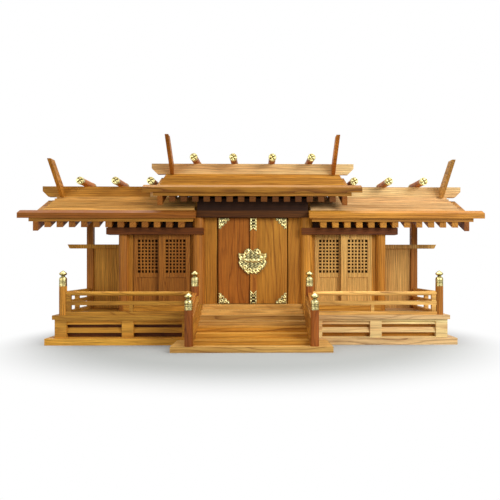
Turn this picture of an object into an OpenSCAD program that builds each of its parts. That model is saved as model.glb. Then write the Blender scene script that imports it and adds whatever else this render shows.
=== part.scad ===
// A household altar of three shrines side by side, in zelkova wood with brass fittings.
// The centre shrine stands higher than its two wings. Each shrine has a gabled roof of
// stepped boards on rafters, with a ridge board, ridge logs and forward-leaning horns.
// Width runs along X, the front faces -Y and Z points up, in millimetres.

/* [Base] */
// Width of the board under the wings
base_w = 620; // [600:1:680]
// Thickness of the board under the wings
base_t = 10; // [6:0.5:14]
// How far the wing base board stands out in front of the plinth
base_lip = 7; // [3:0.5:12]
// Width of the board under the stairs
stair_base_w = 224; // [200:1:240]
// Thickness of the board under the stairs
stair_base_t = 8; // [5:0.5:12]
// How far the stair base board stands out in front of the first step
stair_base_lip = 15; // [12:0.5:30]

/* [Plinth and deck] */
// Width of the plinth
plinth_w = 594; // [590:1:598]
// Height of the plinth above the base board
plinth_h = 28; // [26:0.5:34]
// Front face of the plinth, measured forwards from the origin
plinth_front = 80; // [72:0.5:84]
// Thickness of the plinth boards
plinth_t = 10; // [6:0.5:14]
// Width of the corner and middle stiles of the plinth front
plinth_stile_w = 17.5; // [12:0.5:26]
// Outer edge of the middle stile, measured from the centre line
plinth_mid_x = 196.5; // [180:1:210]
// Inner edge of the louvred field, measured from the centre line
plinth_inner_x = 106; // [100:1:112]
// Height of the top rail of the plinth front
plinth_top_rail = 3; // [2:0.5:6]
// Height of the bottom rail of the plinth front
plinth_bottom_rail = 1.5; // [1:0.5:5]
// Height of one louvre slat
slat_h = 7.4; // [5:0.2:9]
// Distance from one louvre slat to the next
slat_pitch = 12.5; // [10:0.5:13]
// Height of the lowest slat's foot above the base board
slat_up = 8; // [4:0.5:9]
// Thickness of a louvre slat
slat_t = 2.4; // [1.5:0.1:3.5]
// How far a slat leans back from foot to head
slat_lean = 4; // [1:0.5:4.5]
// Thickness of the thin board behind the slats
plinth_back_t = 1.5; // [1:0.1:2]
// Thickness of the deck boards
deck_t = 6.5; // [4:0.5:9]
// How far the deck stands out over the plinth
deck_lip = 3; // [1:0.5:6]

/* [Stairs] */
// Number of steps
step_n = 7; // [7:1:7]
// Rise of one step
step_rise = 6.85; // [6.6:0.05:7.6]
// Run of one step
step_run = 21.4; // [18:0.2:22]
// How far a step runs on under the next one
step_lap = 6; // [3:0.5:10]
// Width of the steps between the side boards
stair_w = 161; // [150:1:161]
// Thickness of the stair side boards
stair_side_t = 6; // [4:0.5:7]
// Height of the side boards above the noses of the steps behind the upper posts
stair_side_up = 0.5; // [0:0.5:5]

/* [Railings] */
// Diameter of a railing post
post_d = 11.6; // [11:0.2:12.6]
// Height of a post above the board that it stands on, without its cap
post_h = 43.5; // [38:0.5:50]
// Extra height of the lower stair posts
lower_post_extra = 6.5; // [4:0.5:14]
// How far the corner posts stand in from the ends of the deck
corner_post_in = 14; // [8:0.5:20]
// Distance of the stair posts from the centre line
stair_post_x = 87; // [87:0.5:92]
// How far the railing stands behind the front edge of the deck
rail_inset = 8; // [6:0.5:12]
// How far the lower stair posts stand in front of the first step
lower_post_ahead = 8; // [0:0.5:9]
// Diameter of the round top rail
top_rail_d = 6.4; // [5:0.2:8]
// Height of the top rail's axis above the deck
top_rail_up = 32.5; // [28:0.5:35]
// Width and height of the middle rail
mid_rail_t = 6; // [4:0.5:7]
// Height of the middle rail's axis above the deck
mid_rail_up = 18; // [14:0.5:20]
// Height of the bottom rail on the deck
low_rail_h = 5; // [3:0.5:7]
// Width of the bottom rail
low_rail_w = 7; // [5:0.5:8]
// Width of the struts beside the corner posts and on the sides
strut_w = 6.5; // [4:0.5:8]
// Width of the short struts between the bottom and middle rails in front
short_strut_w = 5; // [4:0.5:8]
// Distance of those short struts from the centre line
strut_x = 183; // [150:1:220]

/* [Post caps] */
// Height of a cap from its rim to its tip
cap_h = 24; // [20:0.5:28]
// Wall thickness of the sleeve that goes over the post
cap_wall = 0.7; // [0.6:0.05:1]
// Depth of the sleeve
cap_sleeve = 6; // [3:0.5:8]
// Radius of the neck under the bud
cap_neck_r = 2.5; // [2:0.1:3]
// Largest radius of the bud
cap_bud_r = 5.5; // [4:0.1:6]
// Depth of the two grooves round the band
cap_groove = 0.45; // [0.2:0.05:0.5]

/* [Shrine body] */
// Distance of the centre columns from the centre line
centre_column_x = 89.5; // [88.5:0.5:91]
// Diameter of the centre columns
centre_column_d = 20; // [17:0.5:21]
// Distance of the wing columns from the centre line
wing_column_x = 213; // [208:0.5:220]
// Diameter of the wing columns
wing_column_d = 16; // [13:0.5:18]
// Distance of the column axes behind the origin
column_y = 6; // [5:0.5:7]
// Distance of the rear face of the back wall behind the origin
body_back = 104; // [95:1:108]
// Thickness of the walls
wall_t = 9; // [6:0.5:10]
// Height of the centre doorway
doorway_h = 142.5; // [138:0.5:146]
// Width of the centre doorway between its jambs
doorway_w = 118; // [114:0.5:120]
// Height of the centre lintel
centre_lintel_h = 11; // [8:0.5:12]
// Height of the wing doorways above the deck
wing_doorway_h = 126; // [122:0.5:128]
// Height of the wing lintels
wing_lintel_h = 11; // [8:0.5:12]
// How far the wing lintels run on past the wing columns
wing_lintel_past = 26; // [12:1:40]
// Depth of the lintels from front to back
lintel_d = 22; // [21:0.5:24]
// How far the wall plates stand back behind the front faces of the lintels
plate_front_in = 9; // [2:0.5:12]
// How far the wall plates stand in front of the rear faces of the lintels
plate_back_in = 3; // [1:0.5:5]
// Height of the sills of the wing doorways
sill_h = 9; // [3:0.5:10]
// Inner edge of the pair of sliding panels, measured from the centre line
panels_x0 = 103; // [101:0.5:106]
// Outer edge of the pair of sliding panels, measured from the centre line
panels_x1 = 198; // [192:0.5:201]

/* [Main doors] */
// Thickness of a door leaf
leaf_t = 7; // [5:0.5:8]
// Where the two leaves meet, measured to the left of the centre line
leaf_meet = 4.5; // [0:0.5:6]
// Gap between the two leaves
leaf_gap = 1; // [0.8:0.1:1.6]
// Gap between the hinge edge of a leaf and its jamb
hinge_gap = 1.6; // [1.5:0.1:2]
// Gap over and under a leaf
leaf_end_gap = 0.7; // [0.5:0.1:1.2]
// Diameter of the pivot pins
pin_d = 4; // [3:0.2:5]
// Length of a pivot pin
pin_h = 3.4; // [2.5:0.1:4.5]
// Clearance round a pivot pin
pin_clear = 0.3; // [0.2:0.05:0.5]
// Width of the closing batten on the right leaf
batten_w = 10.4; // [8:0.2:12]
// Thickness of the closing batten
batten_t = 2.5; // [1.5:0.1:3]
// Thickness of the brass plates
brass_t = 0.7; // [0.5:0.1:0.8]
// Length of the two legs of a triangular corner plate
corner_plate = 20; // [14:0.5:26]
// How far the corner plates reach out past the hinge line
plate_reach = 2.2; // [0:0.1:2.4]
// Height of the brass plates on the ends of the batten
batten_plate_h = 22; // [14:0.5:28]
// Width of the scrolled centre plate
centre_plate_w = 47; // [40:0.5:54]
// Height of the scrolled centre plate
centre_plate_h = 44; // [38:0.5:50]
// Diameter of the bosses that hold the centre plate on the leaves
plate_boss_d = 4; // [2:0.5:6]
// Height of the middle of the centre plate above the floor
centre_plate_up = 70; // [60:0.5:80]

/* [Sliding panels] */
// Width of one sliding panel
panel_w = 51; // [49:0.5:52]
// Thickness of a sliding panel
panel_t = 4.5; // [3.5:0.1:5]
// Width of the divider between the two grooves
groove_rib = 1.2; // [0.8:0.1:2]
// Clearance of a panel in its groove
groove_clear = 0.3; // [0.2:0.05:0.5]
// Depth of the groove in the sill
sill_groove = 2.4; // [1.5:0.1:2.8]
// Depth of the groove in the lintel
lintel_groove = 3.4; // [2.5:0.1:4.5]
// Gap between a closed panel and its jamb
panel_gap = 0.5; // [0.3:0.1:1]
// Width of the stile at the outer edge of a panel
stile_w = 7; // [5:0.5:8]
// Columns of holes in the lattice
lattice_cols = 6; // [4:1:7]
// Rows of holes in the lattice
lattice_rows = 10; // [8:1:10]
// Distance from one lattice hole to the next
lattice_pitch = 5.5; // [5:0.1:5.6]
// Width of a lattice bar
lattice_bar = 2.3; // [1.6:0.1:2.6]
// Depth of the lattice bars
lattice_t = 2.5; // [1.5:0.1:3.5]
// Height of the rail over the lattice that shows under the lintel
panel_top_rail = 8; // [6:0.5:12]
// Height of the rail under the lattice
panel_mid_rail = 7.5; // [5:0.5:10]
// Height of the rail at the foot of a panel
panel_foot_rail = 6; // [4:0.5:9]
// Thickness of the thin board below the lattice
panel_board_t = 1.6; // [1:0.1:2.5]

/* [Side screens] */
// How far the middle of the ridge posts stands in from the ends of the deck
ridge_post_in = 14.5; // [8:0.5:22]
// Width of the square ridge posts
ridge_post_w = 11; // [9:0.2:15]
// Height of the screen's top rail above the deck
screen_rail_up = 105; // [90:1:115]
// Height of the screen's top rail itself
screen_rail_h = 7; // [5:0.5:10]
// Depth of the screen's top rail from front to back
screen_rail_d = 8; // [6:0.5:9]
// How far the screen's top rail stands out in front of the ridge post
screen_rail_out = 1.5; // [0.5:0.5:4]
// How far the screen's top rail runs on past the ridge post
screen_rail_past = 33; // [20:1:40]
// Thickness of the screen's board
screen_t = 4; // [3:0.5:6]

/* [Roofs] */
// Slope of the roofs in degrees
roof_slope = 22.2; // [20:0.1:23]
// Distance of the ridge line behind the origin
ridge_y = 70.5; // [68:0.5:73]
// How far the wing eaves stand in front of the ridge line
wing_eave_run = 94.5; // [90:0.5:97]
// How far the centre eaves stand in front of the ridge line
centre_eave_run = 90.5; // [87:0.5:94]
// How far the shorter rear slopes run on behind the ridge line
rear_eave_run = 42; // [40:0.5:60]
// Height of the upper edge of the wing eaves above the base
wing_eave_z = 204; // [203:0.5:207]
// Height of the upper edge of the centre eaves above the base
centre_eave_z = 246; // [245:0.5:250]
// Height of the eave boards
eave_h = 8.5; // [7:0.5:9]
// Depth of the eave boards from front to back
eave_d = 13; // [8:0.5:14]
// Thickness of the boards that lie on the rafters
base_board_t = 6.5; // [4:0.5:7]
// How far those boards stand back behind the eave boards' faces
base_board_back = 3; // [1:0.5:6]
// Number of stepped roof boards on each slope
shingle_n = 7; // [5:1:9]
// Height of the step from one roof board to the next
shingle_step = 3.2; // [1.4:0.1:3.8]
// Height of the rafters, measured upright
rafter_h = 10; // [8:0.5:10]
// Width of a rafter
rafter_w = 10; // [8:0.5:10]
// How far the rafter ends stand back behind the eave boards' faces
rafter_back = 5; // [3:0.5:8]
// Distance from one rafter to the next on the centre roof
centre_rafter_pitch = 18.63; // [18:0.01:19]
// Distance from one rafter to the next on the wing roofs
wing_rafter_pitch = 19.5; // [19:0.05:19.6]
// Distance of the outermost wing rafter from the centre line
wing_rafter_x = 329.5; // [327:0.5:334]
// Half width of the centre eave boards
centre_eave_x = 178; // [170:0.5:182]
// Half width of the boards on the centre rafters
centre_base_x = 161; // [158:0.5:164]
// Half width of the stepped boards on the centre roof
centre_shingle_x = 153; // [148:0.5:157]
// Outer end of the wing eave boards, from the centre line
wing_eave_x = 376.5; // [370:0.5:386]
// Outer end of the boards on the wing rafters
wing_base_x = 359; // [356:0.5:362]
// Outer end of the stepped boards on the wing roofs
wing_shingle_x = 343; // [340:0.5:352]
// Inner end of the wing eave boards
wing_eave_inner = 91.5; // [91:0.5:94]
// Thickness of the bargeboards
barge_t = 8; // [5:0.5:9]
// Height of the bargeboards, measured upright
barge_h = 15; // [11:0.5:17]
// How far a wing bargeboard stands in from the end of the boards above it
wing_barge_in = 7; // [1:0.5:9]
// How far a centre bargeboard stands in from the end of the boards above it
centre_barge_in = 7; // [1:0.5:8]

/* [Ridges] */
// Height of the ridge boards
ridge_h = 18; // [16:0.5:19]
// Thickness of the ridge boards
ridge_t = 12; // [9:0.5:14]
// How far the ridge boards run on past the stepped boards
ridge_past = 24.5; // [14:0.5:30]
// Size of the slanted cut under the ends of the ridge boards
ridge_cut = 9.5; // [5:0.5:12]
// How far the inner ends of the wing ridge boards reach in under the centre roof
wing_ridge_lap = 8; // [4:0.5:12]
// Diameter of the ridge logs
log_d = 12; // [10:0.2:15]
// Length of the ridge logs
log_l = 79; // [60:1:90]
// How deep the logs are let into the ridge boards
log_seat = 0.6; // [0.4:0.1:2]
// Length of the brass caps on the logs
log_cap_l = 6; // [3:0.5:9]
// Wall thickness of the brass caps
log_cap_t = 0.5; // [0.3:0.1:0.8]
// Distance from one log to the next on the centre roof
centre_log_pitch = 66.9; // [60:0.1:70]
// Distance of the innermost log of a wing from the centre line
wing_log_x = 173; // [171:0.5:178]
// Distance from one log to the next on the wings
wing_log_pitch = 59.7; // [50:0.1:64]
// Thickness of the horns
horn_t = 6; // [5:0.5:9]
// Width of the horns
horn_w = 12; // [7:0.5:14]
// Angle of the horns above the level, in degrees
horn_angle = 39; // [35:1:46]
// Length of the horns
horn_l = 87; // [70:1:95]
// How far the heel of a horn reaches down the roof in front of the ridge board
horn_heel = 4; // [1:0.5:8]
// Distance of the centre roof's horns from the centre line
centre_horn_x = 141.4; // [138:0.2:144]
// Distance of the wing horns from the centre line
wing_horn_x = 333; // [322:0.5:338]

/* [Hidden] */
$fn = 64;

// Levels
deck_top = base_t + plinth_h + deck_t;
floor_top = stair_base_t + step_n * step_rise;
wing_head_z = deck_top + wing_doorway_h;
wing_lintel_top = wing_head_z + wing_lintel_h;
centre_head_z = floor_top + doorway_h;
centre_lintel_top = centre_head_z + centre_lintel_h;
sill_top = deck_top + sill_h;

// Plan of the base, the deck and the body
deck_front = -plinth_front - deck_lip;
deck_x = plinth_w / 2 + deck_lip;
base_front = -plinth_front - base_lip;
deck_back = body_back + deck_lip;
base_back = body_back + base_lip;
stair_side_x = stair_w / 2 + stair_side_t;
stair_front = -step_n * step_run;
stair_base_front = stair_front - stair_base_lip;
lintel_front = column_y - lintel_d / 2 - 1;
lintel_back = lintel_front + lintel_d;
wall_front = max(lintel_back, column_y + centre_column_d / 2);
wall_back = body_back - wall_t;
centre_wall_out = centre_column_x + wall_t / 2 + 2;
centre_wall_in = centre_wall_out - wall_t;
outer_wall_in = wing_column_x - wall_t / 2;
outer_wall_out = wing_column_x + wall_t / 2;
plate_front = lintel_front + plate_front_in;
plate_back = lintel_back - plate_back_in;

// Places of the railings
rail_y = deck_front + rail_inset;
corner_post_x = deck_x - corner_post_in;
ridge_post_x = deck_x - ridge_post_in;
lower_post_y = stair_front - lower_post_ahead;
corner_post = [corner_post_x, rail_y, deck_top, post_h];
upper_post = [stair_post_x, rail_y, deck_top, post_h];
lower_post = [stair_post_x, lower_post_y, stair_base_t, post_h + lower_post_extra];
posts = [corner_post, upper_post, lower_post];
post_r = post_d / 2;
ridge_post_front = ridge_y - ridge_post_w / 2;
handrail_top = deck_top + top_rail_up + top_rail_d / 2;
// Height of the underside of a sloping handrail at a distance y
function handrail_under(y) = handrail_top - mid_rail_t - (rail_y - y) * step_rise / step_run;

// Main doors
leaf_r = leaf_t / 2;
hinge_x = doorway_w / 2 - hinge_gap - leaf_r;
hinge_y = column_y + 0.5;
leaf_front = hinge_y - leaf_r;
leaf_z0 = floor_top + leaf_end_gap;
leaf_z1 = centre_head_z - leaf_end_gap;
batten_front = leaf_front - batten_t;
plate_z = floor_top + centre_plate_up;

// Sliding panels: the right one of each pair runs in the front groove
front_groove_y = hinge_y - panel_t - groove_clear - groove_rib / 2;
groove_step = panel_t + 2 * groove_clear + groove_rib;
panel_z0 = sill_top - sill_groove + groove_clear;
panel_z1 = wing_head_z + lintel_groove - groove_clear;
lattice_w = lattice_cols * lattice_pitch;
lattice_h = lattice_rows * lattice_pitch;
lattice_top = wing_head_z - panel_top_rail;
lattice_foot = lattice_top - lattice_h;

// Roofs
function rise(run) = run * tan(roof_slope);
// Height of the plane through the upper edge of the eaves at a distance y, for a roof
// given as [distance of its eaves before the ridge, height of that edge]
wing_roof = [wing_eave_run, wing_eave_z];
centre_roof = [centre_eave_run, centre_eave_z];
function roof_z(roof, y) = roof[1] + rise(roof[0] - abs(ridge_y - y));
rafter_under = eave_h + base_board_t + rafter_h;
wing_inner_x = centre_wall_out;
ridge_front = ridge_y - ridge_t / 2;
roof_back = ridge_y + rear_eave_run;
centre_barge_x = centre_base_x - centre_barge_in;
wing_barge_x = wing_base_x - wing_barge_in;
log_r = log_d / 2;
joint_gap = 0.3;
// Thickness of the glue lines between the sloping boards
glue_line = 0.05;

// Helpers

// A box between two values on each axis
module block(x, y, z) {
    translate([x[0], y[0], z[0]])
        cube([x[1] - x[0], y[1] - y[0], z[1] - z[0]]);
}

// An outline in Y and Z, drawn out along X between two values
module along_x(x, outline) {
    translate([x[0], 0, 0])
        rotate([90, 0, 90])
            linear_extrude(x[1] - x[0])
                polygon(outline);
}

// An outline in X and Z, drawn out along Y between two values
module along_y(y, outline) {
    translate([0, y[1], 0])
        rotate([90, 0, 0])
            linear_extrude(y[1] - y[0])
                polygon(outline);
}

module both_sides() {
    children();
    mirror([1, 0, 0])
        children();
}

module other_side() {
    mirror([1, 0, 0])
        children();
}

// The front half as drawn, and its reflection behind the ridge line, cut off plumb where
// the shorter rear slope ends
module both_slopes() {
    children();
    intersection() {
        translate([0, 2 * ridge_y, 0])
            mirror([0, 1, 0])
                children();
        block([-wing_eave_x, wing_eave_x], [ridge_y, roof_back], [0, 2 * centre_eave_z]);
    }
}

module wood() {
    color([0.72, 0.49, 0.26])
        children();
}

module dark_wood() {
    color([0.52, 0.29, 0.15])
        children();
}

module brass() {
    color([0.83, 0.74, 0.45])
        children();
}

// Base, plinth and deck

module wing_base() {
    wood()
        block([-base_w / 2, base_w / 2], [base_front, base_back], [0, base_t]);
}

module stair_base() {
    wood()
        block([-stair_base_w / 2, stair_base_w / 2], [stair_base_front, base_front],
            [0, stair_base_t]);
}

module plinth_walls() {
    side_x = plinth_w / 2;
    z = [base_t, base_t + plinth_h];
    wood() {
        block([-side_x, side_x], [wall_back, body_back], z);
        both_sides()
            block([side_x - plinth_t, side_x], [plinth_t - plinth_front, wall_back], z);
    }
}

module louvre_slat(x, z) {
    head = -plinth_front + plinth_t / 2;
    along_x(x, [
        [head - slat_lean, z],
        [head - slat_lean + slat_t, z],
        [head + slat_t, z + slat_h],
        [head, z + slat_h]
    ]);
}

// A frame with two louvred fields, its slats held in the stiles before a thin board
module plinth_front() {
    y = [-plinth_front, plinth_t - plinth_front];
    z = [base_t, base_t + plinth_h];
    outer = plinth_w / 2;
    slat_z = base_t + slat_up;
    wood() {
        block([outer - plinth_stile_w, outer], y, z);
        block([plinth_mid_x - plinth_stile_w, plinth_mid_x], y, z);
        block([stair_side_x, plinth_inner_x], y, z);
        block([stair_side_x, outer], y, [z[1] - plinth_top_rail, z[1]]);
        block([stair_side_x, outer], y, [z[0], z[0] + plinth_bottom_rail]);
        block([stair_side_x, outer], [y[1] - plinth_back_t, y[1]], z);
        for (k = [0 : 1])
            louvre_slat([plinth_inner_x, outer - plinth_stile_w], slat_z + k * slat_pitch);
    }
}

// The deck is cut out round the stairs
module deck() {
    wood()
        difference() {
            block([-deck_x, deck_x], [deck_front, deck_back], [deck_top - deck_t, deck_top]);
            block([-stair_side_x, stair_side_x], [deck_front - 1, 0],
                [deck_top - deck_t - 1, deck_top + 1]);
        }
}

// Stairs

module stair_step(k) {
    y = stair_front + k * step_run;
    back = min(y + step_run + step_lap, 0);
    wood()
        block([-stair_w / 2, stair_w / 2], [y, back],
            [stair_base_t + k * step_rise, stair_base_t + (k + 1) * step_rise]);
}

// Each side board fills the space under its handrail, goes on low behind the upper post
// and is let in round the column
module stair_sides() {
    slope = step_rise / step_run;
    head_z = floor_top + stair_side_up;
    low_z = head_z + slope * (rail_y + step_run);
    dark_wood()
        both_sides()
            difference() {
                along_x([stair_w / 2, stair_side_x], [
                    [lower_post_y, stair_base_t],
                    [base_front, stair_base_t],
                    [base_front, base_t],
                    [0, base_t],
                    [0, head_z],
                    [-step_run, head_z],
                    [rail_y, low_z],
                    [rail_y, handrail_under(rail_y)],
                    [lower_post_y, handrail_under(lower_post_y)]
                ]);
                post_holes(0);
                column_space();
            }
}

// Railings

// Space kept free for the posts, from a little below their feet upwards
module post_holes(below) {
    for (p = posts)
        translate([p[0], p[1], p[2] - below])
            cylinder(d = post_d, h = p[3] + cap_h);
}

module rail_x(x, y, up) {
    translate([x[0], y, deck_top + up])
        rotate([0, 90, 0])
            cylinder(d = top_rail_d, h = x[1] - x[0]);
}

module rail_y_run(x, y, up) {
    translate([x, y[1], deck_top + up])
        rotate([90, 0, 0])
            cylinder(d = top_rail_d, h = y[1] - y[0]);
}

// One flat rail along the front and back along the side
module flat_rail(w, z) {
    h = w / 2;
    block([stair_post_x, corner_post_x], [rail_y - h, rail_y + h], z);
    block([corner_post_x - h, corner_post_x + h], [rail_y, ridge_post_front], z);
}

module strut(x, y, w, up) {
    h = w / 2;
    block([x - h, x + h], [y - mid_rail_t / 2, y + mid_rail_t / 2],
        [deck_top + low_rail_h - 1, deck_top + up]);
}

module railing() {
    mid_z = deck_top + mid_rail_up;
    side_y = (rail_y + ridge_post_front) / 2;
    wood()
        difference() {
            union() {
                rail_x([stair_post_x, corner_post_x], rail_y, top_rail_up);
                rail_y_run(corner_post_x, [rail_y, ridge_post_front], top_rail_up);
                flat_rail(mid_rail_t, [mid_z - mid_rail_t / 2, mid_z + mid_rail_t / 2]);
                flat_rail(low_rail_w, [deck_top, deck_top + low_rail_h]);
                strut(corner_post_x - post_r - strut_w / 2, rail_y, strut_w, top_rail_up);
                strut(strut_x, rail_y, short_strut_w, mid_rail_up);
                strut(corner_post_x, side_y, strut_w, top_rail_up);
            }
            post_holes(1);
        }
}

// The sloping rails run between the lower and upper stair posts beside the steps
module stair_handrails() {
    wood()
        both_sides()
            difference() {
                along_x([stair_post_x - mid_rail_t / 2, stair_post_x + mid_rail_t / 2], [
                    [lower_post_y, handrail_under(lower_post_y) + mid_rail_t],
                    [lower_post_y, handrail_under(lower_post_y)],
                    [rail_y, handrail_under(rail_y)],
                    [rail_y, handrail_under(rail_y) + mid_rail_t]
                ]);
                post_holes(1);
            }
}

// Each post is turned down at its top to go into the sleeve of its cap
module railing_posts() {
    dark_wood()
        both_sides()
            for (p = posts)
                translate([p[0], p[1], p[2]]) {
                    cylinder(d = post_d, h = p[3]);
                    cylinder(d = post_neck_d, h = p[3] + cap_sleeve);
                }
}

// Half outline of a cap: banded sleeve, dome, neck and a bud with a pointed tip
cap_r = post_d / 2;
post_neck_d = post_d - 2 * cap_wall;
function groove_at(z) = [
    [cap_r, z - cap_groove],
    [cap_r - cap_groove, z],
    [cap_r, z + cap_groove]
];
dome_z = 0.45 * cap_h;
neck_z = 0.66 * cap_h;
dome_curve = [for (a = [0 : 15 : 75])
    [cap_neck_r + (cap_r - cap_neck_r) * cos(a), dome_z + 0.7 * (neck_z - dome_z) * sin(a)]];
bud_curve = [for (t = [0.05 : 0.05 : 0.951])
    let (swell = pow(sin(180 * pow(t, 0.8)), 1.2))
    [cap_neck_r * (1 - t) + (cap_bud_r - 0.5 * cap_neck_r) * swell,
        neck_z + t * (cap_h - neck_z)]];
cap_outline = concat(
    [[0, 0], [cap_r, 0]],
    groove_at(0.22 * cap_h),
    groove_at(0.33 * cap_h),
    dome_curve,
    [[cap_neck_r, neck_z]],
    bud_curve,
    [[0, cap_h]]
);

module post_cap() {
    difference() {
        rotate_extrude()
            polygon(cap_outline);
        translate([0, 0, -1])
            cylinder(d = post_neck_d, h = cap_sleeve + 1);
    }
}

module post_caps() {
    brass()
        both_sides()
            for (p = posts)
                translate([p[0], p[1], p[2] + p[3]])
                    post_cap();
}

// Shrine body

module column_centre(d, top) {
    translate([centre_column_x, column_y, deck_top])
        cylinder(d = d, h = top - deck_top);
}

module column_wing(top) {
    translate([wing_column_x, column_y, deck_top])
        cylinder(d = wing_column_d, h = top - deck_top);
}

module columns() {
    wood()
        both_sides() {
            column_centre(centre_column_d, centre_head_z);
            column_wing(wing_head_z);
        }
}

// Space kept free for the columns in the pieces that are let into them
module column_space() {
    both_sides() {
        column_centre(centre_column_d, centre_head_z);
        column_wing(wing_head_z);
    }
}

module pivot_holes(z) {
    for (side = [-1, 1])
        translate([side * hinge_x, hinge_y, z])
            cylinder(d = pin_d + 2 * pin_clear, h = pin_h + pin_clear);
}

module centre_floor() {
    wood()
        difference() {
            block([-centre_wall_in, centre_wall_in], [0, wall_back], [deck_top, floor_top]);
            column_space();
            pivot_holes(floor_top - pin_h - pin_clear);
        }
}

// A wall along Y with a gable top that carries the rafters of a roof
module gable_wall(x, roof, front) {
    under = rafter_under;
    along_x(x, [
        [front, deck_top],
        [wall_back, deck_top],
        [wall_back, roof_z(roof, wall_back) - under],
        [ridge_y, roof_z(roof, ridge_y) - under],
        [front, roof_z(roof, front) - under]
    ]);
}

module centre_walls() {
    wood()
        both_sides()
            gable_wall([centre_wall_in, centre_wall_out], centre_roof, wall_front);
}

module outer_walls() {
    wood()
        both_sides()
            gable_wall([outer_wall_in, outer_wall_out], wing_roof, wall_front);
}

module back_board(x, roof) {
    under = rafter_under;
    along_x(x, [
        [wall_back, deck_top],
        [body_back, deck_top],
        [body_back, roof_z(roof, body_back) - under],
        [wall_back, roof_z(roof, wall_back) - under]
    ]);
}

module back_wall() {
    wood() {
        back_board([-centre_wall_out, centre_wall_out], centre_roof);
        back_board([centre_wall_out, outer_wall_out], wing_roof);
        back_board([-outer_wall_out, -centre_wall_out], wing_roof);
    }
}

// Boards beside the main doors, and the narrow jambs of the wing doorways
module door_jambs() {
    jamb_y = [hinge_y - 0.5, hinge_y + leaf_r + 2];
    wing_y = [column_y, lintel_back - 2];
    wing_z = [sill_top, wing_head_z];
    dark_wood()
        both_sides()
            difference() {
                union() {
                    block([doorway_w / 2, centre_column_x], jamb_y, [floor_top, centre_head_z]);
                    block([centre_column_x, panels_x0], wing_y, wing_z);
                    block([panels_x1, wing_column_x], wing_y, wing_z);
                }
                column_space();
            }
}

// Grooves for the front and rear panels, cut into a sill or a lintel
module grooves(z) {
    for (k = [0, 1])
        block([panels_x0, panels_x1],
            [front_groove_y + k * groove_step,
                front_groove_y + k * groove_step + panel_t + 2 * groove_clear],
            z);
}

module wing_sills() {
    wood()
        both_sides()
            difference() {
                block([centre_column_x, wing_column_x], [front_groove_y - 3, lintel_back - 2],
                    [deck_top, sill_top]);
                column_space();
                grooves([sill_top - sill_groove, sill_top + 1]);
            }
}

module centre_lintel() {
    wood()
        difference() {
            block([-wing_eave_inner, wing_eave_inner], [lintel_front, lintel_back],
                [centre_head_z, centre_lintel_top]);
            pivot_holes(centre_head_z);
        }
}

// The inner ends of the wing lintels wrap round the front of the centre columns
module wing_lintels() {
    inner = centre_column_x - centre_column_d / 2 + 1;
    outer = wing_column_x + wing_lintel_past;
    z = [wing_head_z, wing_lintel_top];
    wood()
        both_sides()
            difference() {
                union() {
                    block([centre_column_x, outer], [lintel_front, lintel_back], z);
                    block([inner, centre_column_x], [lintel_front, column_y], z);
                }
                column_space();
                grooves([wing_head_z - 1, wing_head_z + lintel_groove]);
            }
}

// A plate on a lintel, bevelled on top to carry the rafters
module wall_plate(x, roof, z) {
    under = rafter_under;
    along_x(x, [
        [plate_front, z],
        [plate_back, z],
        [plate_back, roof_z(roof, plate_back) - under],
        [plate_front, roof_z(roof, plate_front) - under]
    ]);
}

module wall_plates() {
    plate_x = centre_column_x + centre_column_d / 2;
    dark_wood() {
        wall_plate([-wing_eave_inner, wing_eave_inner], centre_roof, centre_lintel_top);
        both_sides()
            wall_plate([plate_x, wing_column_x + wing_lintel_past], wing_roof, wing_lintel_top);
    }
}

// Main doors

// A leaf between its hinge line and its free edge, with a rounded hinge edge and two pins
module door_leaf(free_edge) {
    length = hinge_x - free_edge;
    translate([hinge_x, hinge_y, leaf_z0]) {
        translate([-length, -leaf_r, 0])
            cube([length, leaf_t, leaf_z1 - leaf_z0]);
        cylinder(r = leaf_r, h = leaf_z1 - leaf_z0);
        translate([0, 0, -pin_h])
            cylinder(d = pin_d, h = leaf_z1 - leaf_z0 + 2 * pin_h);
    }
}

right_free_edge = -leaf_meet + leaf_gap / 2;
left_free_edge = leaf_meet + leaf_gap / 2;

module right_main_door() {
    wood()
        door_leaf(right_free_edge);
}

module left_main_door() {
    wood()
        other_side()
            door_leaf(left_free_edge);
}

module closing_batten() {
    wood()
        block([right_free_edge, right_free_edge + batten_w], [batten_front, leaf_front],
            [leaf_z0, leaf_z1]);
}

// Outline of a corner plate from its outer corner: a triangle with four lobes along its
// long edge
module corner_outline(up) {
    lobe = 0.13 * corner_plate;
    leg = corner_plate - lobe;
    intersection() {
        union() {
            polygon([[0, 0], [0, up * leg], [-leg, 0]]);
            for (f = [0.125 : 0.25 : 0.875])
                translate([-leg * f, up * leg * (1 - f)])
                    circle(r = lobe);
        }
        translate([-corner_plate, up > 0 ? 0 : -corner_plate])
            square(corner_plate);
    }
}

// The plate on an outer corner of the right leaf, upwards or downwards from a height
module corner_plate_at(z, up) {
    translate([hinge_x + plate_reach, leaf_front, z])
        rotate([90, 0, 0])
            linear_extrude(brass_t)
                corner_outline(up);
}

// A plate round one end of the batten, with a notched edge
module batten_plate(z, up) {
    x = [right_free_edge, right_free_edge + batten_w];
    along_y([batten_front - brass_t, batten_front], [
        [x[0], z],
        [x[1], z],
        [x[1], z + up * batten_plate_h],
        [(x[0] + x[1]) / 2, z + up * (batten_plate_h - batten_w / 2)],
        [x[0], z + up * batten_plate_h]
    ]);
}

// Right half of the scrolled centre plate from its top to its foot, as parts of half its
// width and height
scroll = [
    [0, 0.77], [0.13, 0.95], [0.36, 1], [0.55, 0.84], [0.6, 0.61], [0.81, 0.59],
    [0.98, 0.66], [1, 0.36], [0.91, 0.14], [1, -0.05], [0.89, -0.36], [0.74, -0.55],
    [0.66, -0.43], [0.6, -0.59], [0.55, -0.77], [0.43, -0.82], [0.3, -1], [0.15, -0.89],
    [0, -0.95]
];

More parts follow.
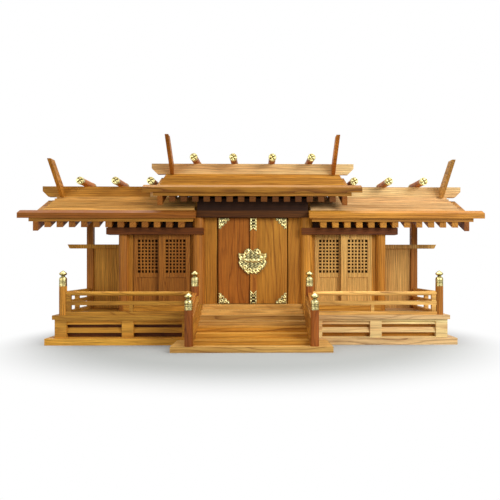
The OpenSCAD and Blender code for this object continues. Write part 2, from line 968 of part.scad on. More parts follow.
module centre_plate_outline() {
    w = centre_plate_w / 2;
    h = centre_plate_h / 2;
    translate([0, plate_z])
        polygon(concat(
            [for (p = scroll) [p[0] * w, p[1] * h]],
            [for (k = [len(scroll) - 2 : -1 : 1]) [-scroll[k][0] * w, scroll[k][1] * h]]
        ));
}

// One half of the centre plate on one side of the line where the leaves meet, given by
// its two ends and the place of the short bosses that hold it on the leaf
module centre_plate_half(x) {
    translate([0, batten_front, 0])
        rotate([90, 0, 0])
            linear_extrude(brass_t)
                intersection() {
                    centre_plate_outline();
                    translate([x[0], plate_z - centre_plate_h])
                        square([x[1] - x[0], 2 * centre_plate_h]);
                }
    for (up = [-1, 0, 1])
        translate([x[2], leaf_front, plate_z + up * centre_plate_h / 4])
            rotate([90, 0, 0])
                cylinder(d = plate_boss_d, h = batten_t);
}

module right_door_brass() {
    brass() {
        corner_plate_at(leaf_z0, 1);
        corner_plate_at(leaf_z1, -1);
        batten_plate(leaf_z0, 1);
        batten_plate(leaf_z1, -1);
        centre_plate_half([right_free_edge, centre_plate_w, centre_plate_w / 3]);
    }
}

module left_door_brass() {
    brass() {
        other_side() {
            corner_plate_at(leaf_z0, 1);
            corner_plate_at(leaf_z1, -1);
        }
        centre_plate_half([-centre_plate_w, -left_free_edge, -centre_plate_w / 3]);
    }
}

// Sliding panels

// A panel that starts at x0 in groove k, with its broad meeting stile on the side
// given by meet: 0 is at its low X edge and 1 at its high X edge
module sliding_panel(x0, k, meet) {
    y0 = front_groove_y + groove_clear + k * groove_step;
    y = [y0, y0 + panel_t];
    mid = y0 + panel_t / 2;
    meet_w = panel_w - lattice_w - stile_w;
    lattice_x = x0 + (meet == 0 ? meet_w : stile_w);
    lattice_end = lattice_x + lattice_w;
    bar_y = [mid - lattice_t / 2, mid + lattice_t / 2];
    wood() {
        block([x0, lattice_x], y, [panel_z0, panel_z1]);
        block([lattice_end, x0 + panel_w], y, [panel_z0, panel_z1]);
        block([x0, x0 + panel_w], y, [lattice_top, panel_z1]);
        block([x0, x0 + panel_w], y, [lattice_foot - panel_mid_rail, lattice_foot]);
        block([x0, x0 + panel_w], y, [panel_z0, panel_z0 + panel_foot_rail]);
        block([lattice_x, lattice_end],
            [mid - panel_board_t / 2, mid + panel_board_t / 2],
            [panel_z0, lattice_foot]);
        for (i = [1 : lattice_cols - 1])
            block([lattice_x + i * lattice_pitch - lattice_bar / 2,
                    lattice_x + i * lattice_pitch + lattice_bar / 2],
                bar_y, [lattice_foot, lattice_top]);
        for (j = [1 : lattice_rows - 1])
            block([lattice_x, lattice_end], bar_y,
                [lattice_foot + j * lattice_pitch - lattice_bar / 2,
                    lattice_foot + j * lattice_pitch + lattice_bar / 2]);
    }
}

inner_panel_x = panels_x0 + panel_gap;
outer_panel_x = panels_x1 - panel_gap - panel_w;

module right_inner_panel() {
    sliding_panel(inner_panel_x, 1, 1);
}

module right_outer_panel() {
    sliding_panel(outer_panel_x, 0, 0);
}

module left_outer_panel() {
    sliding_panel(-outer_panel_x - panel_w, 1, 1);
}

module left_inner_panel() {
    sliding_panel(-inner_panel_x - panel_w, 0, 0);
}

// Side screens

// The top rail of a side screen, with its slanted end outside the ridge post
module screen_rail() {
    z = deck_top + screen_rail_up;
    end = ridge_post_x + ridge_post_w / 2 + screen_rail_past;
    y = ridge_post_front - screen_rail_out;
    along_y([y, y + screen_rail_d], [
        [outer_wall_out, z],
        [end - screen_rail_h / 2, z],
        [end, z + screen_rail_h],
        [outer_wall_out, z + screen_rail_h]
    ]);
}

// The ridge posts are notched in front for the screens' rails
module ridge_posts() {
    x = [ridge_post_x - ridge_post_w / 2, ridge_post_x + ridge_post_w / 2];
    back = ridge_y + ridge_post_w / 2;
    under = rafter_under;
    wood()
        both_sides()
            difference() {
                along_x(x, [
                    [ridge_post_front, deck_top],
                    [back, deck_top],
                    [back, roof_z(wing_roof, back) - under],
                    [ridge_y, roof_z(wing_roof, ridge_y) - under],
                    [ridge_post_front, roof_z(wing_roof, ridge_post_front) - under]
                ]);
                screen_rail();
            }
}

// The screen's board stands between the wall and the post, under the rail
module side_screens() {
    post_inner = ridge_post_x - ridge_post_w / 2;
    wood()
        both_sides() {
            block([outer_wall_out, post_inner],
                [ridge_y - screen_t / 2, ridge_y + screen_t / 2],
                [deck_top, deck_top + screen_rail_up]);
            screen_rail();
        }
}

// Roofs

// A sloping board under the roof's eave plane, between two depths below that plane
// and two distances in front of the ridge
module slope_board(x, roof, run, depth) {
    y0 = ridge_y - run[0];
    y1 = ridge_y - run[1];
    along_x(x, [
        [y0, roof_z(roof, y0) - depth[1]],
        [y1, roof_z(roof, y1) - depth[1]],
        [y1, roof_z(roof, y1) - depth[0]],
        [y0, roof_z(roof, y0) - depth[0]]
    ]);
}

module eave_board(x, roof) {
    slope_board(x, roof, [roof[0], roof[0] - eave_d], [0, eave_h]);
}

module eave_boards() {
    wood() {
        eave_board([-centre_eave_x, centre_eave_x], centre_roof);
        both_sides()
            eave_board([wing_eave_inner, wing_eave_x], wing_roof);
    }
}

module base_board(x, roof) {
    both_slopes()
        slope_board(x, roof, [roof[0] - base_board_back, joint_gap],
            [eave_h + glue_line, eave_h + base_board_t]);
}

module roof_base_boards() {
    dark_wood() {
        base_board([-centre_base_x, centre_base_x], centre_roof);
        both_sides()
            difference() {
                base_board([wing_inner_x, wing_base_x], wing_roof);
                column_space();
            }
    }
}

// The stepped boards of one slope as one outline: each board rises less steeply than
// the roof, and ends in a small step up to the next
function shingle_outline(roof) =
    let (
        y0 = ridge_y - roof[0] + eave_d,
        y1 = ridge_front,
        length = (y1 - y0) / shingle_n,
        climb = rise(length) - shingle_step
    )
    concat(
        [
            [y0, roof_z(roof, y0) - eave_h],
            [ridge_y - joint_gap, roof_z(roof, ridge_y - joint_gap) - eave_h],
            [ridge_y - joint_gap, roof_z(roof, y1)],
            [y1, roof_z(roof, y1)]
        ],
        [for (k = [shingle_n - 1 : -1 : 0]) each [
            [y0 + (k + 1) * length, roof_z(roof, y0 + k * length) + climb],
            [y0 + k * length, roof_z(roof, y0 + k * length)]
        ]]
    );

module shingles(x, roof) {
    wood()
        both_slopes()
            along_x(x, shingle_outline(roof));
}

module centre_shingles() {
    shingles([-centre_shingle_x, centre_shingle_x], centre_roof);
}

module right_shingles() {
    shingles([wing_inner_x, wing_shingle_x], wing_roof);
}

module rafter(x, roof) {
    both_slopes()
        slope_board([x - rafter_w / 2, x + rafter_w / 2], roof,
            [roof[0] - rafter_back, joint_gap],
            [eave_h + base_board_t + glue_line, rafter_under]);
}

module centre_rafters() {
    n = 7;
    dark_wood()
        for (k = [-n : n])
            rafter(k * centre_rafter_pitch, centre_roof);
}

module right_rafters() {
    n = 12;
    dark_wood()
        for (k = [0 : n - 1])
            rafter(wing_rafter_x - k * wing_rafter_pitch, wing_roof);
}

module bargeboard(x, roof) {
    both_slopes()
        slope_board([x - barge_t, x], roof, [roof[0] - base_board_back, joint_gap],
            [eave_h + base_board_t + glue_line, eave_h + base_board_t + barge_h]);
}

// The centre bargeboards are notched where the wing ridge boards pass under them
module bargeboards() {
    dark_wood()
        both_sides() {
            difference() {
                bargeboard(centre_barge_x, centre_roof);
                ridge_board([wing_ridge_inner, wing_ridge_outer], wing_roof, 0.2);
            }
            bargeboard(wing_barge_x, wing_roof);
        }
}

// Ridges

function ridge_foot(roof) = roof_z(roof, ridge_front);
function ridge_top(roof) = ridge_foot(roof) + ridge_h;
centre_ridge_x = centre_shingle_x + ridge_past;
wing_ridge_outer = wing_shingle_x + ridge_past;
wing_ridge_inner = centre_barge_x - barge_t - wing_ridge_lap;

// A ridge board with a slanted cut under its outer end, swollen by a clearance
module ridge_board(x, roof, clear) {
    z = ridge_foot(roof);
    along_y([ridge_front - clear, ridge_front + ridge_t + clear], [
        [x[0], z - clear],
        [x[1] - ridge_cut, z - clear],
        [x[1], z + ridge_cut],
        [x[1], z + ridge_h + clear],
        [x[0], z + ridge_h + clear]
    ]);
}

function log_z(roof) = ridge_top(roof) + log_r - log_seat;
centre_log_places = [for (k = [-1.5 : 1 : 1.5]) k * centre_log_pitch];
wing_log_places = [for (k = [0 : 2]) wing_log_x + k * wing_log_pitch];

// A log along Y whose middle is on the ridge line
module log_at(x, roof, d, l) {
    translate([x, ridge_y + l / 2, log_z(roof)])
        rotate([90, 0, 0])
            cylinder(d = d, h = l);
}

module all_logs(d, l) {
    for (x = centre_log_places)
        log_at(x, centre_roof, d, l);
    both_sides()
        for (x = wing_log_places)
            log_at(x, wing_roof, d, l);
}

module ridge_boards() {
    wood()
        difference() {
            union() {
                both_sides()
                    ridge_board([0, centre_ridge_x], centre_roof, 0);
                both_sides()
                    ridge_board([wing_ridge_inner, wing_ridge_outer], wing_roof, 0);
            }
            all_logs(log_d, log_l);
        }
}

module ridge_logs() {
    wood()
        all_logs(log_d, log_l);
}

// Brass cups over both ends of every log
module log_caps() {
    inner_l = log_l - 2 * log_cap_l;
    brass()
        difference() {
            all_logs(log_d + 2 * log_cap_t, log_l + 2 * log_cap_t);
            all_logs(log_d, log_l);
            all_logs(log_d + 4 * log_cap_t, inner_l);
        }
}

// A horn that leans forwards from the foot of the ridge board, cut level at its tip
module roof_horn(x, roof) {
    foot_y = ridge_front;
    foot_z = ridge_foot(roof);
    c = cos(horn_angle);
    s = sin(horn_angle);
    tip = [foot_y - horn_l * c, foot_z + horn_l * s];
    along_x([x - horn_t / 2, x + horn_t / 2], [
        [foot_y, foot_z],
        [foot_y, foot_z + horn_w / c],
        [tip[0] + horn_w / s, tip[1]],
        tip,
        [foot_y - horn_heel, roof_z(roof, foot_y - horn_heel)]
    ]);
}

module roof_horns() {
    wood()
        both_sides() {
            roof_horn(centre_horn_x, centre_roof);
            roof_horn(wing_horn_x, wing_roof);
        }
}

wing_base();
stair_base();
plinth_walls();
other_side() plinth_front();  // left_plinth_front
plinth_front();  // right_plinth_front
deck();
stair_step(0);  // step_1
stair_step(1);  // step_2
stair_step(2);  // step_3
stair_step(3);  // step_4
stair_step(4);  // step_5
stair_step(5);  // step_6
stair_step(6);  // step_7
stair_sides();
stair_handrails();
other_side() railing();  // left_railing
railing();  // right_railing
railing_posts();
post_caps();
columns();
centre_floor();
centre_walls();
outer_walls();
back_wall();
door_jambs();
wing_sills();
centre_lintel();
wing_lintels();
wall_plates();
left_main_door();
right_main_door();
closing_batten();
left_door_brass();
right_door_brass();
left_outer_panel();
left_inner_panel();
right_inner_panel();
right_outer_panel();
ridge_posts();
side_screens();
roof_base_boards();
eave_boards();
centre_shingles();
other_side() right_shingles();  // left_shingles
right_shingles();
centre_rafters();
other_side() right_rafters();  // left_rafters
right_rafters();
bargeboards();
ridge_boards();
ridge_logs();
log_caps();
roof_horns();
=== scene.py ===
import math
import bmesh
import bpy
import numpy as np
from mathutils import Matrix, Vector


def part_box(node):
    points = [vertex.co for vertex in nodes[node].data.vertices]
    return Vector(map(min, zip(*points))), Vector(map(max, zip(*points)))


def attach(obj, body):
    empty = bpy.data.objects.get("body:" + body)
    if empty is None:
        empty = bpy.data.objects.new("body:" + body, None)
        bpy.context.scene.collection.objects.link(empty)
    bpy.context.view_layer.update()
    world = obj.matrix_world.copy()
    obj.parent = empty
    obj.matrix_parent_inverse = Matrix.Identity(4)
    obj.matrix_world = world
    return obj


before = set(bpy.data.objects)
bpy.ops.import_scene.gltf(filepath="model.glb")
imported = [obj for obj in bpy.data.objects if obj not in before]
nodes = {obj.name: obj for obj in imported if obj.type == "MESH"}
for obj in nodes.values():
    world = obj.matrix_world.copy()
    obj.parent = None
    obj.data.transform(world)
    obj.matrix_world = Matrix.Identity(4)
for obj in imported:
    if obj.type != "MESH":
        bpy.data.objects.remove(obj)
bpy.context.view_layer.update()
print("altar loaded:", len(nodes), "wooden and brass parts")

# in front of the stairs and a little to the right, in metres and degrees
camera = {
    "place": (0.0070, -0.9631, 0.1185),
    "turn": 1.054,        # towards the right
    "pixels": 583.7,      # focal length in pixels of a 500 px frame
    "shiftRight": 17.65,  # pixels that the picture is moved right
    "shiftDown": 16.13,   # pixels that the picture is moved down
}


def addCamera():
    data = bpy.data.cameras.new("frontCamera")
    data.sensor_width = 36.0
    data.lens = camera["pixels"] / 500 * data.sensor_width
    data.shift_x = -camera["shiftRight"] / 500
    data.shift_y = camera["shiftDown"] / 500
    data.clip_start = 0.01
    seat = bpy.data.objects.new("frontCamera", data)
    seat.location = camera["place"]
    seat.rotation_euler = (math.pi / 2, 0, -math.radians(camera["turn"]))
    bpy.context.scene.collection.objects.link(seat)
    bpy.context.scene.camera = seat


# A shader node with its sockets set from values, and its inputs joined from links
def addNode(tree, kind, links=None, **values):
    node = tree.nodes.new(kind)
    for key, value in values.items():
        if hasattr(node, key):
            setattr(node, key, value)
        else:
            node.inputs[key.replace("_", " ")].default_value = value
    for key, source in (links or {}).items():
        tree.links.new(source, node.inputs[key])
    return node


# One step of arithmetic between sockets and plain numbers
def calc(tree, how, a, b=None):
    node = addNode(tree, "ShaderNodeMath", operation=how)
    for k, value in enumerate((a, b)):
        if isinstance(value, (int, float)):
            node.inputs[k].default_value = value
        elif value is not None:
            tree.links.new(value, node.inputs[k])
    return node.outputs[0]


# places, sizes and aims in metres, power in watts
light = {
    "fill": 0.22,                # strength of the white surroundings on the wood
    "topPlace": (0.05, 0.16, 1.20), "topSize": (1.4, 0.9), "topPower": 18.0,
    "topAim": (0, 0, 0.1),
    "keyPlace": (0.95, -1.05, 0.72), "keySize": (0.7, 0.7), "keyPower": 16.5,
    "keyAim": (0, 0, 0.14),
    "sidePlace": (-1.15, -0.95, 0.40), "sideSize": (0.9, 0.9), "sidePower": 5.6,
    "sideAim": (-0.1, 0, 0.1),
    "floorHalf": 3.0,
    # the floor's grey is a painted shadow about the altar; away from it the floor turns white
    "paintedShadowGrey": (0.38, 0.39, 0.38, 1),
    "floorReach": (0.50, 0.54),  # half width and half depth of an oval about the altar
    "floorFade": (0.49, 0.84),   # shares of it where the floor starts to turn white, and is white
}


def addLamp(name, place, size, power, aim):
    data = bpy.data.lights.new(name, "AREA")
    data.shape = "RECTANGLE"
    data.size, data.size_y = size
    data.energy = power
    lamp = bpy.data.objects.new(name, data)
    lamp.location = place
    way = np.array(aim) - np.array(place)
    flat = math.hypot(way[0], way[1])
    lamp.rotation_euler = (math.atan2(flat, -way[2]), 0, math.atan2(way[1], way[0]) - math.pi / 2)
    bpy.context.scene.collection.objects.link(lamp)


def addSurroundings():
    world = bpy.data.worlds.new("studio")
    bpy.context.scene.world = world
    world.use_nodes = True
    tree = world.node_tree
    tree.nodes.clear()
    path = addNode(tree, "ShaderNodeLightPath")
    seen = calc(tree, "MAXIMUM", path.outputs["Is Camera Ray"], path.outputs["Is Glossy Ray"])
    strength = addNode(tree, "ShaderNodeMapRange", {"Value": seen}, To_Min=light["fill"],
                       To_Max=1.0)
    sky = addNode(tree, "ShaderNodeBackground", {"Strength": strength.outputs[0]})
    sky.inputs["Color"].default_value = (1, 1, 1, 1)
    addNode(tree, "ShaderNodeOutputWorld", {"Surface": sky.outputs[0]})


# The floor is one level square sheet, grey near the altar as a painted shadow about it, on top of
# the shadows the lamps cast. What looks at it directly sees it turn into white paper away from the
# altar: a smooth step of the distance, measured in ovals.
def addFloor():
    mesh = bpy.data.meshes.new("floor")
    half = light["floorHalf"]
    corners = [(-half, -half, 0), (half, -half, 0), (half, half, 0), (-half, half, 0)]
    mesh.from_pydata(corners, [], [(0, 1, 2, 3)])
    floor = bpy.data.objects.new("floor", mesh)
    bpy.context.scene.collection.objects.link(floor)
    paper = bpy.data.materials.new("floorWithPaintedShadow")
    paper.use_nodes = True
    tree = paper.node_tree
    face = tree.nodes["Principled BSDF"]
    face.inputs["Base Color"].default_value = light["paintedShadowGrey"]
    face.inputs["Roughness"].default_value = 0.9
    face.inputs["Specular IOR Level"].default_value = 0.0
    where = addNode(tree, "ShaderNodeTexCoord")
    oval = addNode(tree, "ShaderNodeVectorMath", {0: where.outputs["Object"]}, operation="DIVIDE")
    oval.inputs[1].default_value = light["floorReach"] + (1,)
    far = addNode(tree, "ShaderNodeVectorMath", {0: oval.outputs[0]}, operation="LENGTH")
    step = addNode(tree, "ShaderNodeMapRange", {"Value": far.outputs["Value"]},
                   interpolation_type="SMOOTHSTEP", From_Min=light["floorFade"][0],
                   From_Max=light["floorFade"][1])
    path = addNode(tree, "ShaderNodeLightPath")
    share = calc(tree, "MULTIPLY", step.outputs[0], path.outputs["Is Camera Ray"])
    white = addNode(tree, "ShaderNodeEmission", Strength=1.0)
    mix = addNode(tree, "ShaderNodeMixShader", {0: share, 1: face.outputs[0], 2: white.outputs[0]})
    tree.links.new(mix.outputs[0], tree.nodes["Material Output"].inputs["Surface"])
    mesh.materials.append(paper)


def addStudio():
    addSurroundings()
    for name in ("top", "key", "side"):
        addLamp(name + "Lamp", light[name + "Place"], light[name + "Size"],
                light[name + "Power"], light[name + "Aim"])
    addFloor()
    print("studio lit")


wood = {
    "ringPitch": 3.6,      # mm between growth rings
    "wander": 9.0,         # mm that a ring strays along the board
    "poreDepth": 0.00010,  # metres of relief in the pores
    "boardsVary": 0.16,    # how much lighter or darker one board is than the next
    "partShift": 12.0,     # mm that chance moves the pattern from part to part
    "partStep": 0.37,      # mm more along the grain for each next part
    "boardShift": 47.0,    # mm that it moves from board to board
    "roughness": 0.50,
    "specular": 0.17,
    # the light, middle and dark wood of a tone, as shares of its red, green and blue
    "shades": ((1.28, 1.34, 1.50), (0.89, 0.84, 0.80), (0.42, 0.27, 0.22)),
    # sapwood to heartwood
    "straw": (0.70, 0.44, 0.18),
    "pale": (0.67, 0.37, 0.092),
    "gold": (0.59, 0.275, 0.035),
    "honey": (0.50, 0.210, 0.024),
    "amber": (0.42, 0.152, 0.019),
    "russet": (0.34, 0.106, 0.011),
    "heart": (0.27, 0.074, 0.010),
}


# how the grain's noises and lines are drawn; a scale is in waves per mm across and along
figure = {
    "drift": (0.018, 0.018, 0.0045),   # slow bends of the rings
    "ripple": (0.09, 0.09, 0.012),     # small waves of the rings
    "fibre": (0.9, 0.9, 0.02),
    "pore": (3.2, 3.2, 0.075),
    "tone": (0.035, 0.035, 0.006),     # drift between light and middle wood
    "rippleRings": 1.1,                # rings that a ripple moves a line at most
    "ringProfile": ((0.09, 0.80), (0.24, 0.18), (0.45, 0.04), (0.80, 0.16)),
    "ringLeast": 0.28, "ringChance": 0.66,  # strength of the faintest ring, and what chance adds
    "toneRange": (0.38, 0.68),
    "fibreShade": (0.58, 1.28),
    "poreDark": 0.55,
}


# One node group: rings about a pith that runs along z, in mm, with fibres, pores and a slow
# drift of tone
def makeGrain():
    tree = bpy.data.node_groups.new("zelkovaGrain", "ShaderNodeTree")
    face = tree.interface
    face.new_socket("Place", in_out="INPUT", socket_type="NodeSocketVector")
    for name, start in (("Pith U", 60.0), ("Pith V", 40.0), ("Ring Pitch", wood["ringPitch"]),
                        ("Wander", wood["wander"])):
        face.new_socket(name, in_out="INPUT", socket_type="NodeSocketFloat").default_value = start
    for name in ("Light", "Middle", "Dark"):
        face.new_socket(name, in_out="INPUT", socket_type="NodeSocketColor")
    face.new_socket("Colour", in_out="OUTPUT", socket_type="NodeSocketColor")
    face.new_socket("Height", in_out="OUTPUT", socket_type="NodeSocketFloat")
    inside = addNode(tree, "NodeGroupInput")
    outside = addNode(tree, "NodeGroupOutput")

    def scaled(vector, by):
        node = addNode(tree, "ShaderNodeVectorMath", {0: vector}, operation="MULTIPLY")
        node.inputs[1].default_value = by
        return node.outputs[0]

    def noise(vector, detail, rough=0.5):
        return addNode(tree, "ShaderNodeTexNoise", {"Vector": vector}, Scale=1.0, Detail=detail,
                       Roughness=rough)

    place = inside.outputs["Place"]
    drift = noise(scaled(place, figure["drift"]), 2.0)
    ripple = noise(scaled(place, figure["ripple"]), 2.0)
    parts = addNode(tree, "ShaderNodeSeparateXYZ", {0: place})
    bend = addNode(tree, "ShaderNodeSeparateColor", {0: drift.outputs["Color"]})
    # the noise swings by about a quarter either way, so it is taken four times
    stray = calc(tree, "MULTIPLY", inside.outputs["Wander"], 4.0)

    def fromPith(k, pith):
        straight = calc(tree, "SUBTRACT", parts.outputs[k], inside.outputs[pith])
        swing = calc(tree, "SUBTRACT", bend.outputs[k], 0.5)
        return calc(tree, "ADD", straight, calc(tree, "MULTIPLY", swing, stray))

    u, v = fromPith(0, "Pith U"), fromPith(1, "Pith V")
    square = calc(tree, "ADD", calc(tree, "MULTIPLY", u, u), calc(tree, "MULTIPLY", v, v))
    rings = calc(tree, "DIVIDE", calc(tree, "SQRT", square), inside.outputs["Ring Pitch"])
    rings = calc(tree, "ADD", rings,
                 calc(tree, "MULTIPLY", ripple.outputs[0], figure["rippleRings"]))
    chance = addNode(tree, "ShaderNodeTexWhiteNoise", {"W": calc(tree, "FLOOR", rings)},
                     noise_dimensions="1D")
    # a ring starts as a thin dark line with a soft side and goes on as a broad light band
    band = addNode(tree, "ShaderNodeValToRGB", {0: calc(tree, "FRACT", rings)})
    stops = band.color_ramp.elements
    stops[0].position, stops[0].color = 0.0, (1, 1, 1, 1)
    stops[1].position, stops[1].color = 1.0, (0.42, 0.42, 0.42, 1)
    for at, grey in figure["ringProfile"]:
        stops.new(at).color = (grey, grey, grey, 1)
    strength = calc(tree, "ADD", figure["ringLeast"],
                    calc(tree, "MULTIPLY", chance.outputs[0], figure["ringChance"]))
    line = calc(tree, "MULTIPLY", band.outputs[0], strength)
    fibre = noise(scaled(place, figure["fibre"]), 4.0, 0.6)
    pore = noise(scaled(place, figure["pore"]), 2.0)
    tone = noise(scaled(place, figure["tone"]), 3.0)
    # tone drifts between the light and the middle colour, and a ring line darkens it
    toneStep = addNode(tree, "ShaderNodeMapRange", {"Value": tone.outputs[0]},
                       From_Min=figure["toneRange"][0], From_Max=figure["toneRange"][1])
    base = addNode(tree, "ShaderNodeMix", {0: toneStep.outputs[0]}, data_type="RGBA")
    tree.links.new(inside.outputs["Light"], base.inputs[6])
    tree.links.new(inside.outputs["Middle"], base.inputs[7])
    ringed = addNode(tree, "ShaderNodeMix", {0: line}, data_type="RGBA")
    tree.links.new(base.outputs[2], ringed.inputs[6])
    tree.links.new(inside.outputs["Dark"], ringed.inputs[7])
    streak = addNode(tree, "ShaderNodeMapRange", {"Value": fibre.outputs[0]},
                     From_Min=0.28, From_Max=0.72, To_Min=figure["fibreShade"][0],
                     To_Max=figure["fibreShade"][1])
    pit = addNode(tree, "ShaderNodeMapRange", {"Value": pore.outputs[0]},
                  From_Min=0.30, From_Max=0.46, To_Min=1.0, To_Max=0.0)
    pit = calc(tree, "MULTIPLY", pit.outputs[0],
               calc(tree, "ADD", calc(tree, "MULTIPLY", line, 0.8), 0.35))
    clear = calc(tree, "SUBTRACT", 1.0, calc(tree, "MULTIPLY", pit, figure["poreDark"]))
    shade = calc(tree, "MULTIPLY", streak.outputs[0], clear)
    grey = addNode(tree, "ShaderNodeCombineColor", {0: shade, 1: shade, 2: shade})
    final = addNode(tree, "ShaderNodeMix", data_type="RGBA", blend_type="MULTIPLY")
    final.inputs[0].default_value = 1.0
    tree.links.new(ringed.outputs[2], final.inputs[6])
    tree.links.new(grey.outputs[0], final.inputs[7])
    tree.links.new(final.outputs[2], outside.inputs["Colour"])
    height = calc(tree, "SUBTRACT", 1.0, calc(tree, "ADD", calc(tree, "MULTIPLY", pit, 0.8),
                                             calc(tree, "MULTIPLY", line, 0.3)))
    tree.links.new(height, outside.inputs["Height"])


# The light, middle and dark colour of one tone of the wood
def threeShades(tone, gain):
    middle = np.array(wood[tone]) * gain
    return [tuple(np.minimum(middle * share, 0.95)) + (1,) for share in wood["shades"]]


# Wood whose grain runs along one axis. cell cuts the pattern every so many mm, so that each
# board is its own, and zones give the tone of what lies between two places along an axis, in mm.
def makeWood(name, grain="x", tone="honey", gain=1.0, seed=0, pith=(55, 38), cell=None,
             pitch=None, wander=None, zones=()):
    material = bpy.data.materials.new(name)
    material.use_nodes = True
    tree = material.node_tree
    face = tree.nodes["Principled BSDF"]
    where = addNode(tree, "ShaderNodeTexCoord")
    inMillimetres = addNode(tree, "ShaderNodeVectorMath", {0: where.outputs["Object"]},
                            operation="MULTIPLY")
    inMillimetres.inputs[1].default_value = (1000, 1000, 1000)
    place = inMillimetres.outputs[0]
    chance = np.random.default_rng(seed)
    apart = addNode(tree, "ShaderNodeVectorMath", {0: place}, operation="ADD")
    shift = chance.uniform(-wood["partShift"], wood["partShift"], 3)
    apart.inputs[1].default_value = tuple(shift + np.array([0, 0, seed * wood["partStep"]]))
    moved = apart.outputs[0]
    if cell:
        size, start = cell
        split = addNode(tree, "ShaderNodeVectorMath", {0: place}, operation="SUBTRACT")
        split.inputs[1].default_value = start
        counted = addNode(tree, "ShaderNodeVectorMath", {0: split.outputs[0]}, operation="DIVIDE")
        counted.inputs[1].default_value = size
        whole = addNode(tree, "ShaderNodeVectorMath", {0: counted.outputs[0]}, operation="FLOOR")
        hashed = addNode(tree, "ShaderNodeTexWhiteNoise", {"Vector": whole.outputs[0]},
                         noise_dimensions="3D")
        spread = addNode(tree, "ShaderNodeVectorMath", {0: hashed.outputs["Color"]},
                         operation="MULTIPLY")
        spread.inputs[1].default_value = (wood["boardShift"],) * 3
        joined = addNode(tree, "ShaderNodeVectorMath", {0: moved, 1: spread.outputs[0]},
                         operation="ADD")
        moved = joined.outputs[0]
        vary = addNode(tree, "ShaderNodeMapRange", {"Value": hashed.outputs["Value"]},
                       To_Min=1 - wood["boardsVary"], To_Max=1 + wood["boardsVary"])
    parts = addNode(tree, "ShaderNodeSeparateXYZ", {0: moved})
    order = {"x": (1, 2, 0), "y": (0, 2, 1), "z": (0, 1, 2)}[grain]
    turned = addNode(tree, "ShaderNodeCombineXYZ", {k: parts.outputs[order[k]] for k in range(3)})
    rings = addNode(tree, "ShaderNodeGroup", node_tree=bpy.data.node_groups["zelkovaGrain"])
    tree.links.new(turned.outputs[0], rings.inputs["Place"])
    rings.inputs["Pith U"].default_value = pith[0]
    rings.inputs["Pith V"].default_value = pith[1]
    rings.inputs["Ring Pitch"].default_value = pitch or wood["ringPitch"]
    rings.inputs["Wander"].default_value = wood["wander"] if wander is None else wander
    across = addNode(tree, "ShaderNodeSeparateXYZ", {0: place})
    shades = threeShades(tone, gain)
    for k, socket in enumerate(("Light", "Middle", "Dark")):
        rings.inputs[socket].default_value = shades[k]
        before = None
        for axis, low, high, zoneTone, zoneGain in zones:
            over = calc(tree, "GREATER_THAN", across.outputs["XYZ".index(axis)], float(low))
            under = calc(tree, "LESS_THAN", across.outputs["XYZ".index(axis)], float(high))
            choice = addNode(tree, "ShaderNodeMix", {0: calc(tree, "MULTIPLY", over, under)},
                             data_type="RGBA")
            choice.inputs[6].default_value = shades[k]
            if before:
                tree.links.new(before, choice.inputs[6])
            choice.inputs[7].default_value = threeShades(zoneTone, zoneGain)[k]
            before = choice.outputs[2]
            tree.links.new(before, rings.inputs[socket])
    bump = addNode(tree, "ShaderNodeBump", {"Height": rings.outputs["Height"]}, Strength=0.5,
                   Distance=wood["poreDepth"])
    colour = rings.outputs["Colour"]
    if cell:
        toned = addNode(tree, "ShaderNodeVectorMath", {0: colour, "Scale": vary.outputs[0]},
                        operation="SCALE")
        colour = toned.outputs[0]
    tree.links.new(colour, face.inputs["Base Color"])
    tree.links.new(bump.outputs[0], face.inputs["Normal"])
    face.inputs["Roughness"].default_value = wood["roughness"]
    face.inputs["Specular IOR Level"].default_value = wood["specular"]
    return material


brass = {
    "bright": (0.82, 0.72, 0.33, 1), "warm": (0.66, 0.50, 0.17, 1),
    # the dark colour: patina on the plates and the sheet, painted shade on the caps
    "patina": (0.06, 0.05, 0.025, 1),
    "roughness": (0.22, 0.42),  # of the smoothest and the most rubbed places
    "cloud": 170.0, "scratch": 900.0, "dots": 620.0,  # waves per metre
    "scratchDepth": 0.00005,    # metres
}


# The parts of a brass material that all share: a slow cloud of tarnish over the bright metal,
# darkened towards a dark colour where hollow is high, patina on the plates and painted shade on the
# caps, and fine rubbing marks
def finishBrass(tree, hollow):
    face = tree.nodes["Principled BSDF"]
    where = addNode(tree, "ShaderNodeTexCoord")
    cloud = addNode(tree, "ShaderNodeTexNoise", {"Vector": where.outputs["Object"]},
                    Scale=brass["cloud"], Detail=3.0)
    scratch = addNode(tree, "ShaderNodeTexNoise", {"Vector": where.outputs["Object"]},
                      Scale=brass["scratch"], Detail=2.0)
    step = addNode(tree, "ShaderNodeMapRange", {"Value": cloud.outputs[0]}, From_Min=0.42,
                   From_Max=0.72)
    metal = addNode(tree, "ShaderNodeMix", {0: step.outputs[0]}, data_type="RGBA")
    metal.inputs[6].default_value = brass["bright"]
    metal.inputs[7].default_value = brass["warm"]
    aged = addNode(tree, "ShaderNodeMix", {0: hollow, 6: metal.outputs[2]}, data_type="RGBA")
    aged.inputs[7].default_value = brass["patina"]
    tree.links.new(aged.outputs[2], face.inputs["Base Color"])
    rough = addNode(tree, "ShaderNodeMapRange", {"Value": scratch.outputs[0]},
                    To_Min=brass["roughness"][0], To_Max=brass["roughness"][1])
    tree.links.new(rough.outputs[0], face.inputs["Roughness"])
    bump = addNode(tree, "ShaderNodeBump", {"Height": scratch.outputs[0]}, Strength=0.25,
                   Distance=brass["scratchDepth"])
    tree.links.new(bump.outputs[0], face.inputs["Normal"])
    face.inputs["Metallic"].default_value = 1.0


def startBrass(name):
    material = bpy.data.materials.new(name)
    material.use_nodes = True
    return material, material.node_tree


